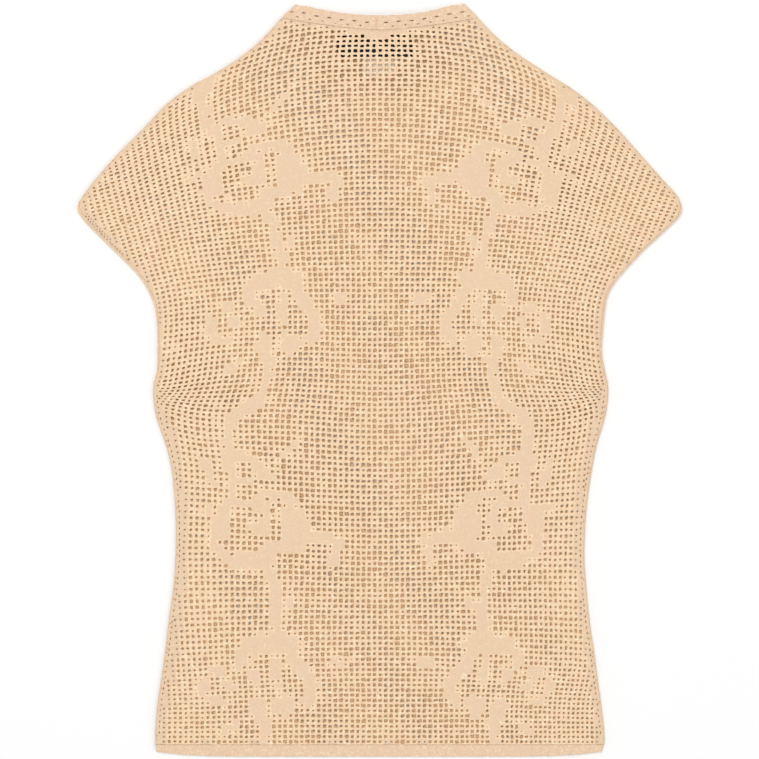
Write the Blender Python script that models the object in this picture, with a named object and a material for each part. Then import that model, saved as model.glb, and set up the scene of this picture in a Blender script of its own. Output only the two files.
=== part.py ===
"""Short-sleeved net pullover with a funnel neck, laid flat on its front, in metres with +Z up.

The garment lies on the plane z = 0 with its back upwards: +Y points to the neck and +X to the
viewer's right. The origin is the centre of its outline, on the surface it rests on.
The front panel is the lower layer and the back panel the upper one. Their edges round towards
each other and meet half-way down the folds at the shoulders and sides. Ring-shaped bands finish
the hem, the neck and both sleeve openings, and two bare labels lie inside the back neck.
"""
import math
from collections import namedtuple

import bmesh
import bpy

MM = 0.001

# ---- driving dimensions, in millimetres --------------------------------------------------------
WALL = 1.8                    # thickness of the knitted cloth
GAP = 0.3                     # clearance between pieces that touch
LENGTH = 602.2                # hem to the highest point of the neck
HEM_BAND_HEIGHT = 9.2         # solid knitted band along the hem
NECK_BAND_RISE = 10.0         # how far the neck trim stands above its seam at the side folds
NECK_BAND_LEAN = 11.0         # how far its side folds lean in over that rise
NECK_EDGE_DIP = 8.2           # how far its top edge sinks at the centre back
NECK_EDGE_CROWN = 1.5         # its top edge swells this much just short of its ends
NECK_EDGE_TILT = 0.9          # its right end lies this much higher than its left
BINDING_WIDTH = 2.8           # rolled edge of the sleeve openings
NECK_SEAM_HEIGHT = 590.2      # where the neck trim meets the side folds
NECK_SEAM_DIP = 10.0          # how far that seam sinks at the centre back
HEM_CORNER_HEIGHT = 3.8       # the hem's corners sit a little above its middle
UNDERARM_HEIGHT = 303.0       # bottom of the sleeve openings
SLEEVE_TIP_HEIGHT = 443.0     # top of the sleeve openings
LABEL_WALL = 1.0
NECK_LABEL_SIZE = (61.6, 18.4)
CARE_LABEL_SIZE = (26.0, 14.4)
NECK_LABEL_CENTRE_X = -3.2
CARE_LABEL_CENTRE_X = -0.8
NECK_LABEL_TOP = 577.2        # height of the labels' top edge above the hem

LAYER = WALL + GAP            # from the underside of one layer to the underside of the next
FOLD_RADIUS = (2 * WALL + GAP) / 2
BAND_END = FOLD_RADIUS + GAP + 0.05           # a binding's last section stops this far short

# ---- tables: every height is measured up from the lowest point of the hem ----------------------
# The outline as seen from above: how far it reaches either side of the centre line.
Outline = namedtuple("Outline", "height left right")
OUTLINE = (
    Outline(0.0, 178.6, 176.2),
    Outline(11.0, 179.4, 179.6),
    Outline(37.4, 178.0, 177.6),
    Outline(57.4, 175.2, 174.8),
    Outline(82.2, 171.6, 171.6),
    Outline(109.4, 168.4, 167.6),
    Outline(134.2, 164.9, 165.2),
    Outline(156.6, 163.2, 163.6),
    Outline(184.6, 162.8, 164.2),
    Outline(206.2, 163.9, 166.2),
    Outline(229.4, 166.2, 169.6),
    Outline(248.6, 170.8, 173.4),
    Outline(270.2, 178.2, 179.8),
    Outline(284.6, 180.6, 182.2),
    Outline(296.6, 180.6, 182.4),
    Outline(307.8, 178.0, 180.0),
    Outline(323.0, 177.6, 177.6),
    Outline(340.6, 177.7, 178.4),
    Outline(356.6, 179.2, 180.0),
    Outline(367.0, 182.6, 181.8),
    Outline(375.8, 187.0, 186.0),
    Outline(385.4, 193.8, 193.4),
    Outline(403.8, 212.0, 210.4),
    Outline(420.6, 229.2, 228.4),
    Outline(431.0, 238.4, 239.0),
    Outline(436.6, 241.2, 241.2),
    Outline(442.2, 240.5, 240.5),
    Outline(448.6, 236.6, 237.4),
    Outline(460.6, 227.6, 226.6),
    Outline(482.2, 208.4, 207.4),
    Outline(497.4, 193.2, 194.0),
    Outline(507.0, 184.0, 184.8),
    Outline(521.4, 170.0, 169.6),
    Outline(535.0, 151.6, 151.6),
    Outline(545.0, 133.0, 135.4),
    Outline(552.6, 120.6, 123.6),
    Outline(563.8, 104.8, 107.0),
    Outline(576.6, 90.6, 91.8),
    Outline(590.2, 78.4, 78.8),
)

# How closely the panels' cross-sections follow each other, from the hem band upwards.
Zone = namedtuple("Zone", "top step")
SECTION_ZONES = (
    Zone(228.0, 27.0),
    Zone(UNDERARM_HEIGHT, 8.4),
    Zone(UNDERARM_HEIGHT + BAND_END, 3.0),
    Zone(330.0, 9.0),
    Zone(426.0, 16.0),
    Zone(SLEEVE_TIP_HEIGHT - BAND_END, 8.0),
    Zone(SLEEVE_TIP_HEIGHT, 3.0),
    Zone(460.0, 6.0),
    Zone(NECK_SEAM_HEIGHT, 13.1),
)
# Soft folds that fan out from each underarm: direction from the horizontal, distances along
# the fold at which it begins and ends, crest height and half-width.
Fold = namedtuple("Fold", "angle start end crest half_width")
UNDERARM_FOLDS = (
    Fold(64.0, 18.0, 108.0, 1.3, 9.0),
    Fold(36.0, 14.0, 92.0, 1.0, 7.0),
    Fold(14.0, 12.0, 74.0, 1.5, 6.0),
    Fold(-6.0, 12.0, 98.0, 1.7, 6.5),
    Fold(-27.0, 14.0, 84.0, 1.3, 7.0),
    Fold(-52.0, 20.0, 96.0, 1.0, 9.0),
)
# Broad swells of the upper layer: centre, half-sizes and rise.
Swell = namedtuple("Swell", "x height half_x half_height rise")
SWELLS = (
    Swell(-2.0, 568.0, 84.0, 50.0, 2.5),
    Swell(-150.0, 470.0, 60.0, 46.0, 0.9),
    Swell(150.0, 468.0, 60.0, 46.0, 1.0),
    Swell(-60.0, 200.0, 70.0, 90.0, 0.5),
    Swell(80.0, 180.0, 60.0, 80.0, 0.5),
)

COLOURS = {
    "back_panel": (0.90, 0.72, 0.51),
    "front_panel": (0.88, 0.70, 0.49),
    "hem_band": (0.89, 0.71, 0.50),
    "neck_band": (0.91, 0.73, 0.52),
    "sleeve_binding_left": (0.89, 0.71, 0.50),
    "sleeve_binding_right": (0.89, 0.71, 0.50),
    "neck_label": (0.012, 0.011, 0.011),
    "care_label": (0.78, 0.74, 0.76),
}


# ---- helpers -----------------------------------------------------------------------------------
def mix(a, b, t):
    return a + (b - a) * t


def smoothstep(t):
    t = min(max(t, 0.0), 1.0)
    return t * t * (3.0 - 2.0 * t)


def half_width(height, side):
    """Reach of the outline on one side, read as a smooth curve through the table's rows."""
    rows = OUTLINE
    height = min(max(height, rows[0].height), rows[-1].height)
    k = 0
    while k < len(rows) - 2 and rows[k + 1].height < height:
        k += 1

    def slope(i):
        low, high = max(i - 1, 0), min(i + 1, len(rows) - 1)
        run = rows[high].height - rows[low].height
        return (getattr(rows[high], side) - getattr(rows[low], side)) / run

    span = rows[k + 1].height - rows[k].height
    t = (height - rows[k].height) / span
    start, end = getattr(rows[k], side), getattr(rows[k + 1], side)
    blend = smoothstep(t)
    lean = t * (1 - t) * ((1 - t) * slope(k) - t * slope(k + 1)) * span
    return mix(start, end, blend) + lean


def neck_seam_sink(x):
    """How far the neck seam lies below its side folds."""
    reach = half_width(NECK_SEAM_HEIGHT, "left" if x < 0 else "right")
    return NECK_SEAM_DIP * (1.0 - min(abs(x) / reach, 1.0) ** 1.5)


def plan_y(height):
    """The plan's Y of a height above the hem: the origin is half-way up the garment."""
    return height - LENGTH / 2


def section_heights():
    heights = [HEM_BAND_HEIGHT + GAP]
    for zone in SECTION_ZONES:
        base = heights[-1]
        count = max(1, round((zone.top - base) / zone.step))
        heights += [mix(base, zone.top, (i + 1) / count) for i in range(count)]
    return heights


def swell_height(x, height):
    """How far the upper layer stands off the lower one, beyond lying flat on it."""
    reach = half_width(height, "left" if x < 0 else "right")
    from_edge = min(reach - abs(x), height - HEM_BAND_HEIGHT - GAP)
    fade = smoothstep(from_edge / 16.0)
    if fade == 0.0:
        return 0.0
    rise = 0.0
    for swell in SWELLS:
        u = (x - swell.x) / swell.half_x
        v = (height - swell.height) / swell.half_height
        rise += swell.rise * smoothstep(1.35 * (1.0 - math.hypot(u, v)))
    for sign, side in ((-1, "left"), (1, "right")):
        root_x = sign * (half_width(UNDERARM_HEIGHT - 14.0, side) - BINDING_WIDTH)
        inward = -sign * (x - root_x)
        upward = height - (UNDERARM_HEIGHT - 14.0)
        for fold in UNDERARM_FOLDS:
            turn = math.radians(fold.angle)
            along = inward * math.cos(turn) + upward * math.sin(turn)
            across = upward * math.cos(turn) - inward * math.sin(turn)
            if not 0.0 < along < fold.end:
                continue
            grow = smoothstep(along / fold.start) * smoothstep((fold.end - along) / fold.end * 1.6)
            rise += fold.crest * grow * math.exp(-((across / fold.half_width) ** 2))
    return rise * fade


def material(name, colour):
    mat = bpy.data.materials.new(name)
    mat.use_nodes = True
    shader = mat.node_tree.nodes["Principled BSDF"]
    shader.inputs["Base Color"].default_value = (*colour, 1.0)
    shader.inputs["Roughness"].default_value = 0.9
    shader.inputs["Metallic"].default_value = 0.0
    return mat


def make_object(name, verts, faces):
    """One closed body from points in millimetres, its faces turned to point outwards."""
    mesh = bpy.data.meshes.new(name)
    mesh.from_pydata([(x * MM, y * MM, z * MM) for x, y, z in verts], [], faces)
    work = bmesh.new()
    work.from_mesh(mesh)
    bmesh.ops.recalc_face_normals(work, faces=work.faces)
    work.to_mesh(mesh)
    work.free()
    mesh.shade_smooth()
    mesh.set_sharp_from_angle(angle=math.radians(50))
    mesh.materials.append(material(name, COLOURS[name]))
    obj = bpy.data.objects.new(name, mesh)
    bpy.context.scene.collection.objects.link(obj)
    return obj


def wall_from_grid(name, outer, inner):
    """A wall between two matching grids of points, closed round all four edges."""
    rows, cols = len(outer), len(outer[0])
    verts = [p for row in outer for p in row] + [p for row in inner for p in row]
    shift = rows * cols
    faces = []
    for r in range(rows - 1):
        for c in range(cols - 1):
            a = r * cols + c
            b, d, e = a + 1, a + cols, a + cols + 1
            faces.append((a, b, e, d))
            faces.append((a + shift, d + shift, e + shift, b + shift))
    rim = [c for c in range(cols)]
    rim += [r * cols + cols - 1 for r in range(1, rows)]
    rim += [(rows - 1) * cols + c for c in range(cols - 2, -1, -1)]
    rim += [r * cols for r in range(rows - 2, 0, -1)]
    for a, b in zip(rim, rim[1:] + rim[:1]):
        faces.append((a, b, b + shift, a + shift))
    return make_object(name, verts, faces)


# ---- the two panels ----------------------------------------------------------------------------
def edge_turn(height):
    """1 where a panel's edge rounds over to meet the other panel, 0 along a sleeve opening."""
    fade = 10.0
    below = 1.0 - smoothstep((height - (UNDERARM_HEIGHT - fade)) / fade)
    above = smoothstep((height - SLEEVE_TIP_HEIGHT) / fade)
    return max(below, above)


def panel_row(height, columns, turn_angles):
    """Centre line of one cross-section: points (x, depth, lean), depth measured down from flat."""
    turn = edge_turn(height)
    bend = FOLD_RADIUS - WALL / 2
    row = []
    for sign, side in ((-1, "left"), (1, "right")):
        reach = half_width(height, side)
        flat_end = mix(reach - BINDING_WIDTH - GAP, reach - FOLD_RADIUS, turn)
        flat_start = flat_end - mix(len(turn_angles) * 1.2, 0.6, turn)
        inner = [(sign * c * flat_start, 0.0, 0.0) for c in columns]
        edge = []
        for i, angle in enumerate(turn_angles):
            lean = angle * turn
            step = mix(flat_start, flat_end, (i + 1) / len(turn_angles))
            x = mix(step, flat_end + bend * math.sin(lean), turn)
            edge.append((sign * x, bend * (1 - math.cos(lean)) * turn, sign * lean))
        row.append(inner + edge)
    left, right = row
    return left[::-1] + [(0.0, 0.0, 0.0)] + right


def panel(name, columns, upper):
    """One body panel, with its cap sleeves and the funnel of the neck cut in one with it."""
    top_limit = math.radians(84)
    turn_angles = [top_limit * (i + 1) / 3 for i in range(3)]
    outer, inner = [], []
    middle = WALL / 2 + (LAYER if upper else 0.0)
    facing = 1.0 if upper else -1.0
    heights = section_heights()
    for height in heights:
        outer_row, inner_row = [], []
        for x, depth, lean in panel_row(height, columns, turn_angles):
            near_top = smoothstep((height - (NECK_SEAM_HEIGHT - 64.0)) / 64.0)
            level = height - near_top * (neck_seam_sink(x) + GAP)
            lift = swell_height(x, level) if upper else 0.0
            z = middle - facing * depth + lift
            nx, nz = math.sin(lean), facing * math.cos(lean)
            half = WALL / 2
            outer_row.append((x + nx * half, plan_y(level), z + nz * half))
            inner_row.append((x - nx * half, plan_y(level), z - nz * half))
        outer.append(outer_row)
        inner.append(inner_row)
    return wall_from_grid(name, outer, inner)


# ---- ring-shaped bands -------------------------------------------------------------------------
def flattened_band(name, inner_line, outer_line, fold_out, edge_round=0.5):
    """A closed band pressed flat: an upper run, a fold, a lower run and a fold.

    inner_line and outer_line are matching plan points of the band's two long edges, and
    fold_out gives the plan direction in which the band folds over at its first and last section.
    """
    centre_z = FOLD_RADIUS
    radius = FOLD_RADIUS - WALL / 2
    count = len(inner_line)
    sections = []
    for k in range(count):
        sections.append((inner_line[k], outer_line[k], (0.0, 0.0), centre_z + radius, 1.0, (0.0, 0.0)))
    bends = [math.radians(a) for a in (45, 90, 135)]
    for end, order in ((count - 1, 1), (0, -1)):
        direction = fold_out[1] if end else fold_out[0]
        turned = []
        for angle in bends:
            push = (direction[0] * radius * math.sin(angle), direction[1] * radius * math.sin(angle))
            normal = (direction[0] * math.sin(angle), direction[1] * math.sin(angle))
            turned.append((inner_line[end], outer_line[end], push,
                           centre_z + radius * math.cos(angle), math.cos(angle), normal))
        if order < 0:
            turned = turned[::-1]
            for k in range(count - 1, -1, -1):
                sections.append((inner_line[k], outer_line[k], (0.0, 0.0),
                                 centre_z - radius, -1.0, (0.0, 0.0)))
        sections += turned
    half = WALL / 2
    profile = ((0.0, 1.0), (0.5, 1.0), (1.0, edge_round), (1.0, -1.0), (0.5, -1.0), (0.0, -1.0))
    verts = []
    for inner, outer, push, z, up, normal in sections:
        for across, side in profile:
            x = mix(inner[0], outer[0], across) + push[0] + normal[0] * half * side
            y = mix(inner[1], outer[1], across) + push[1] + normal[1] * half * side
            lift = swell_height(x, y) if up == 1.0 else 0.0
            verts.append((x, plan_y(y), z + lift + up * half * side))
    size = len(profile)
    faces = []
    for s in range(len(sections)):
        here, there = s * size, ((s + 1) % len(sections)) * size
        for p in range(size):
            q = (p + 1) % size
            faces.append((here + p, here + q, there + q, there + p))
    return make_object(name, verts, faces)


def even(count):
    return [mix(-1.0, 1.0, i / (count - 1)) for i in range(count)]


def hem_band():
    top, bottom = [], []
    for u in even(21):
        side = "left" if u < 0 else "right"
        corner_rise = HEM_CORNER_HEIGHT * abs(u) ** 8
        for height, line in ((HEM_BAND_HEIGHT, top), (0.0, bottom)):
            reach = half_width(height, side) - FOLD_RADIUS
            line.append((u * reach, height + (corner_rise if line is bottom else 0.0)))
    return flattened_band("hem_band", top, bottom, ((-1.0, 0.0), (1.0, 0.0)))


def neck_band():
    """The neck trim: its lower edge is the neck seam, and its upper edge dips a little less."""
    seam, edge = [], []
    for u in even(25):
        side = "left" if u < 0 else "right"
        reach = half_width(NECK_SEAM_HEIGHT, side) - FOLD_RADIUS
        seam.append((u * reach, NECK_SEAM_HEIGHT - neck_seam_sink(u * reach)))
        crown = NECK_EDGE_CROWN * (abs(u) ** 2 - smoothstep((abs(u) - 0.86) / 0.14))
        tilt = NECK_EDGE_TILT * smoothstep((u - 0.5) / 0.4)
        sink = NECK_EDGE_DIP * (1.0 - u ** 2) - crown - tilt
        edge.append((u * (reach - NECK_BAND_LEAN), NECK_SEAM_HEIGHT + NECK_BAND_RISE - sink))
    slant = math.atan2(NECK_BAND_RISE, NECK_BAND_LEAN)
    left = (-math.sin(slant), math.cos(slant))
    right = (math.sin(slant), math.cos(slant))
    return flattened_band("neck_band", seam, edge, (left, right))


def sleeve_binding(side):
    """The rolled edge of one sleeve opening, from the underarm up to the tip of the sleeve."""
    sign = -1 if side == "left" else 1
    low, high = UNDERARM_HEIGHT + BAND_END, SLEEVE_TIP_HEIGHT - BAND_END
    inner, outer = [], []
    for height in section_heights():
        if low - 0.1 < height < high + 0.1:
            reach = half_width(height, side)
            inner.append((sign * (reach - BINDING_WIDTH), height))
            outer.append((sign * reach, height))

    def along(start, end):
        run = (sign * (half_width(end, side) - half_width(start, side)), end - start)
        size = math.hypot(*run)
        return (run[0] / size, run[1] / size)

    folds = (along(low, UNDERARM_HEIGHT), along(high, SLEEVE_TIP_HEIGHT))
    return flattened_band(f"sleeve_binding_{side}", inner, outer, folds)


# ---- labels ------------------------------------------------------------------------------------
def label(name, centre_x, top, size):
    """A bare woven label: a thin block with rounded corners, lying on the lower layer."""
    width, height = size
    radius, steps = 0.8, 3
    rim = []
    for cx, cy, start in ((1, 1, 0), (-1, 1, 90), (-1, -1, 180), (1, -1, 270)):
        for i in range(steps + 1):
            a = math.radians(start + 90 * i / steps)
            rim.append((centre_x + cx * (width / 2 - radius) + radius * math.cos(a),
                        top - height / 2 + cy * (height / 2 - radius) + radius * math.sin(a)))
    low, high = LAYER, LAYER + LABEL_WALL
    verts = [(x, plan_y(y), z) for z in (low, high) for x, y in rim]
    count = len(rim)
    faces = [tuple(range(count)), tuple(range(count, 2 * count))]
    faces += [(i, (i + 1) % count, (i + 1) % count + count, i + count) for i in range(count)]
    return make_object(name, verts, faces)


def main():
    for obj in list(bpy.data.objects):
        bpy.data.objects.remove(obj, do_unlink=True)
    back_columns = [0.09, 0.18, 0.27, 0.36, 0.45, 0.54, 0.63, 0.71, 0.78, 0.84, 0.89, 0.935, 0.97, 1.0]
    front_columns = [0.2, 0.4, 0.6, 0.78, 0.92, 1.0]
    panel("back_panel", back_columns, upper=True)
    panel("front_panel", front_columns, upper=False)
    hem_band()
    neck_band()
    sleeve_binding("left")
    sleeve_binding("right")
    label("neck_label", NECK_LABEL_CENTRE_X, NECK_LABEL_TOP, NECK_LABEL_SIZE)
    care_top = NECK_LABEL_TOP - NECK_LABEL_SIZE[1] - GAP
    label("care_label", CARE_LABEL_CENTRE_X, care_top, CARE_LABEL_SIZE)


main()
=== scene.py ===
"""Looks of the short-sleeved net pullover, laid flat on its front: its knitted net, bands and labels.

Lengths are in millimetres until points become a mesh. x runs to the viewer's right, and a height
is measured up from the lowest point of the hem, which is the plan's lowest Y.
"""
import math
from collections import namedtuple

import bpy
import numpy as np
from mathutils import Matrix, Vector
from mathutils.geometry import delaunay_2d_cdt


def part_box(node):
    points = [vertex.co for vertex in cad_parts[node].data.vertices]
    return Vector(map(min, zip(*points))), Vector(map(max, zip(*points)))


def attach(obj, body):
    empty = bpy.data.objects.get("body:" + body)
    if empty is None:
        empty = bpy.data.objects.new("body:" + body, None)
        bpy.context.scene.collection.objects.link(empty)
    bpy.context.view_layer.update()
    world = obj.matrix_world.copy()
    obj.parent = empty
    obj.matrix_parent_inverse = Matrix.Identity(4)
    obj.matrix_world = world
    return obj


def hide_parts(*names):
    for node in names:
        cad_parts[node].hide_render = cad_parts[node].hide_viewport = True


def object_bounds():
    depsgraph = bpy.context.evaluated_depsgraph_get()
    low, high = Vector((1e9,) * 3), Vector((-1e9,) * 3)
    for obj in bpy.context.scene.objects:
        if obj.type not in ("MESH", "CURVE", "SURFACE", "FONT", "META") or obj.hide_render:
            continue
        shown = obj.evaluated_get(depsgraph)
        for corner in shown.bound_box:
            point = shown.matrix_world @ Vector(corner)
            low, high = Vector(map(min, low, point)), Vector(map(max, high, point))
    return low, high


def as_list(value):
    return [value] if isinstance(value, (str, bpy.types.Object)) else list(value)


MM = 0.001

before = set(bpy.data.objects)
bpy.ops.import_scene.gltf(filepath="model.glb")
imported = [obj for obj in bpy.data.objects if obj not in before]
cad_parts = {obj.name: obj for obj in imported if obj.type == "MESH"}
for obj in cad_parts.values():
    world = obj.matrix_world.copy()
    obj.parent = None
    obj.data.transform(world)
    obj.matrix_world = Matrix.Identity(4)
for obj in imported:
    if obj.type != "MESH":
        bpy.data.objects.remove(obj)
cad_low, cad_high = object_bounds()

# ---- sizes shared with the solids, in millimetres ----
WALL = 1.8                    # thickness of the knitted cloth
GAP = 0.3                     # clearance between pieces that touch
LENGTH = (cad_high.y - cad_low.y) / MM
HEM_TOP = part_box("hem_band")[1].y / MM + LENGTH / 2
NECK_SEAM_HEIGHT = 590.2
NECK_SEAM_DIP = 10.0
NECK_BAND_RISE = 10.0
NECK_BAND_LEAN = 11.0
NECK_EDGE_DIP = 8.2
NECK_EDGE_CROWN = 1.5
NECK_EDGE_TILT = 0.9
JOIN_X = -2.3                 # the neck trim's ends are joined here, at the centre back
HEM_CORNER_HEIGHT = 3.8
BINDING_WIDTH = 2.8
UNDERARM_HEIGHT = 303.0
FOLD_ROOT_HEIGHT = UNDERARM_HEIGHT - 14.0
SLEEVE_TIP_HEIGHT = 443.0
LAYER = WALL + GAP
FOLD_RADIUS = (2 * WALL + GAP) / 2
SEAM = 0.12                   # clearance that shows at a sewn seam
PANEL_LOW = HEM_TOP + SEAM    # the panels' lower edge

# The outline as seen from above: how far it reaches either side of the centre line.
Outline = namedtuple("Outline", "height left right")
OUTLINE = [Outline(*row) for row in (
    (0.0, 178.6, 176.2), (11.0, 179.4, 179.6), (37.4, 178.0, 177.6), (57.4, 175.2, 174.8),
    (82.2, 171.6, 171.6), (109.4, 168.4, 167.6), (134.2, 164.9, 165.2), (156.6, 163.2, 163.6),
    (184.6, 162.8, 164.2), (206.2, 163.9, 166.2), (229.4, 166.2, 169.6), (248.6, 170.8, 173.4),
    (270.2, 178.2, 179.8), (284.6, 180.6, 182.2), (296.6, 180.6, 182.4), (307.8, 178.0, 180.0),
    (323.0, 177.6, 177.6), (340.6, 177.7, 178.4), (356.6, 179.2, 180.0), (367.0, 182.6, 181.8),
    (375.8, 187.0, 186.0), (385.4, 193.8, 193.4), (403.8, 212.0, 210.4), (420.6, 229.2, 228.4),
    (431.0, 238.4, 239.0), (436.6, 241.2, 241.2), (442.2, 240.5, 240.5), (448.6, 236.6, 237.4),
    (460.6, 227.6, 226.6), (482.2, 208.4, 207.4), (497.4, 193.2, 194.0), (507.0, 184.0, 184.8),
    (521.4, 170.0, 169.6), (535.0, 151.6, 151.6), (545.0, 133.0, 135.4), (552.6, 120.6, 123.6),
    (563.8, 104.8, 107.0), (576.6, 90.6, 91.8), (590.2, 78.4, 78.8),
)]
# Soft folds that fan out from each underarm.
Fold = namedtuple("Fold", "angle start end crest half_width")
UNDERARM_FOLDS = (
    Fold(64.0, 18.0, 108.0, 1.1, 9.0),
    Fold(36.0, 14.0, 92.0, 0.8, 7.0),
    Fold(14.0, 12.0, 74.0, 1.0, 6.5),
    Fold(-6.0, 12.0, 98.0, 1.1, 7.0),
    Fold(-27.0, 14.0, 84.0, 1.0, 7.5),
    Fold(-52.0, 20.0, 96.0, 0.9, 9.0),
)
# Broad swells of the upper layer. They fade out over SWELL_FADE along its edges.
SWELL_FADE = 16.0
Swell = namedtuple("Swell", "x height half_x half_height rise")
SWELLS = (
    Swell(-2.0, 568.0, 84.0, 50.0, 2.5),
    Swell(-150.0, 470.0, 60.0, 46.0, 0.9),
    Swell(150.0, 468.0, 60.0, 46.0, 1.0),
    Swell(-60.0, 200.0, 70.0, 90.0, 0.5),
    Swell(80.0, 180.0, 60.0, 80.0, 0.5),
)

# ---- the net ----
# Rows of holes from the hem up: height of the row at the centre, spacing of its holes at the
# centre and towards each side, and how far the row hangs below its middle at three distances.
NetRow = namedtuple("NetRow", "row height pitch pitch_left pitch_right drop_near drop_mid drop_far")
NET_ROWS = (
    NetRow(-2.0, 3.8, 4.48, 4.40, 3.76, 0.0, 0.0, 0.0),
    NetRow(0.0, 11.7, 4.48, 4.40, 3.76, 0.0, 0.0, 0.0),
    NetRow(7.6, 43.0, 4.48, 4.40, 3.76, 0.0, 2.4, 3.2),
    NetRow(16.5, 79.8, 4.60, 4.40, 3.92, 1.6, 4.8, 8.8),
    NetRow(34.0, 153.8, 4.40, 4.80, 4.08, -2.4, -3.2, 0.0),
    NetRow(48.5, 217.4, 4.48, 4.64, 4.16, -3.2, -8.8, -16.0),
    NetRow(59.6, 266.2, 4.48, 4.96, 4.40, -4.0, -4.8, -11.2),
    NetRow(68.0, 302.6, 4.24, 4.56, 4.08, -2.4, 1.0, 2.0),
    NetRow(82.0, 363.3, 4.24, 4.32, 3.92, 0.0, 5.6, 15.6),
    NetRow(95.5, 422.2, 4.48, 4.64, 4.40, 3.1, 11.1, 27.1),
    NetRow(107.5, 472.9, 4.64, 4.96, 4.80, 5.8, 19.4, 39.4),
    NetRow(118.0, 516.9, 4.96, 5.04, 5.04, 6.0, 26.0, 50.0),
    NetRow(128.0, 555.8, 5.04, 5.12, 5.28, 6.0, 31.6, 61.2),
    NetRow(134.0, 579.2, 4.72, 4.96, 4.96, 5.8, 34.6, 65.0),
    NetRow(142.0, 609.4, 4.72, 4.96, 4.96, 4.8, 36.8, 68.0),
)
DROP_AT = (-80.0, 0.0, 80.0, 156.0, 216.0, 276.0)      # distances from the centre line of the drops
PITCH_FADE_COLUMNS = 32.0     # columns over which the spacing goes from the centre's to the side's
NET_CENTRE_X = 0.6            # a column of holes runs here
ROW_COUNT = 142
COLUMN_REACH = 58
# The rows draw together towards each underarm.
Gather = namedtuple("Gather", "x height radius pull")
GATHERS = (Gather(-178.0, 287.8, 28.8, 0.45), Gather(179.6, 291.8, 28.8, 0.45))
NET_REACH = 245.0             # no part of the garment lies further from its centre line
RIM_CLEARANCE = 0.2           # the net's strands stay this far inside the rim of a panel
YOKE_ROW = 75                 # the net is modelled in two halves below this row and two above

# ---- the roses ----
# Filled holes draw a climbing rose on each side of the back. Positions are in holes: columns from
# the middle of the back, and rows from the hem. The right-hand rose mirrors the left-hand one.
ROSE_REPEAT = 67
ROSE_MIRROR = 0.6             # sum of the columns of a place and of its mirrored twin
Petal = namedtuple("Petal", "column row half_length half_width turn")
Stem = namedtuple("Stem", "half_width points")
BUD = (
    # on the shoulder, drawn once: the bud and the stem that leads down into the first rose
    Petal(-28.0, 128.7, 3.2, 1.9, 75.0),
    Stem(0.85, ((-27.7, 126.0), (-27.6, 120.0))),
)
OPEN_ROSE = (
    Petal(-28.2, 106.3, 4.6, 1.75, 86.0),
    Petal(-20.4, 116.4, 2.1, 1.3, 0.0),
    Petal(-16.3, 120.8, 3.0, 0.55, 52.0),
    Petal(-21.7, 111.2, 1.9, 1.25, 0.0),
    Petal(-21.5, 106.7, 2.2, 1.15, -6.0),
    Petal(-15.2, 107.2, 4.7, 2.75, 98.0),
    Petal(-16.0, 93.5, 1.6, 0.9, 60.0),
    Stem(1.2, ((-26.7, 118.4), (-26.1, 117.2))),
    Stem(0.9, ((-25.9, 115.6), (-26.1, 111.4), (-27.4, 108.8))),
    Stem(0.9, ((-30.4, 117.4), (-29.6, 114.4))),
    Stem(0.7, ((-31.5, 109.6), (-28.0, 109.4))),
    Stem(0.95, ((-26.5, 119.3), (-25.0, 119.7), (-22.2, 119.0), (-20.7, 117.8))),
    Stem(0.95, ((-20.8, 113.0), (-18.0, 112.8), (-15.4, 112.2))),
    Stem(1.6, ((-28.0, 103.2), (-25.2, 101.0), (-22.0, 100.5), (-19.7, 101.2), (-19.5, 103.2))),
    Stem(0.95, ((-20.2, 110.6), (-20.1, 107.2))),
    Stem(0.55, ((-26.0, 114.9), (-22.8, 114.6))),
    Stem(0.55, ((-26.6, 110.8), (-23.6, 110.8))),
    Stem(1.25, ((-13.0, 106.0), (-7.6, 104.9))),
    Stem(1.0, ((-7.9, 104.6), (-8.5, 101.2))),
    Stem(1.1, ((-19.6, 103.5), (-16.0, 103.2))),
    Stem(0.9, ((-19.8, 100.0), (-18.8, 97.0), (-18.3, 94.0), (-18.0, 90.0))),
)
HANGING_ROSE = (
    # the bell-shaped cap
    Stem(1.3, ((-18.0, 91.2), (-18.1, 88.4))),
    Petal(-19.3, 86.1, 5.5, 2.35, 5.0),
    # petals, stamen and leaves
    Petal(-24.6, 83.6, 2.8, 1.25, 80.0),
    Petal(-22.6, 80.8, 2.5, 1.25, 100.0),
    Petal(-18.3, 81.0, 3.6, 1.15, 90.0),
    Petal(-17.1, 74.0, 2.2, 2.3, 0.0),
    Petal(-21.9, 73.8, 2.4, 1.6, 95.0),
    Petal(-20.7, 70.9, 1.9, 1.4, 0.0),
    Petal(-31.6, 78.3, 2.4, 1.35, 90.0),
    Petal(-28.4, 81.3, 1.7, 1.3, -20.0),
    Petal(-27.1, 78.5, 1.35, 1.3, 0.0),
    Petal(-27.2, 69.8, 2.3, 1.0, 40.0),
    Petal(-7.2, 82.5, 1.8, 0.95, 5.0),
    Stem(1.35, ((-15.2, 84.4), (-15.2, 83.0), (-13.6, 80.9))),
    Stem(1.3, ((-13.6, 80.9), (-12.1, 78.6), (-12.2, 76.0), (-13.1, 74.8))),
    Stem(0.85, ((-30.8, 75.6), (-28.0, 75.0))),
    # the stem below, which climbs on to the next rose
    Stem(1.1, ((-21.4, 72.0), (-20.7, 69.6))),
    Stem(0.85, ((-20.7, 69.2), (-21.0, 65.4), (-21.2, 63.0))),
    Stem(1.4, ((-21.5, 62.8), (-22.9, 61.8), (-24.6, 60.4), (-25.5, 58.9))),
    Stem(0.95, ((-25.9, 57.6), (-26.2, 53.8), (-26.1, 50.0))),
)
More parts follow.
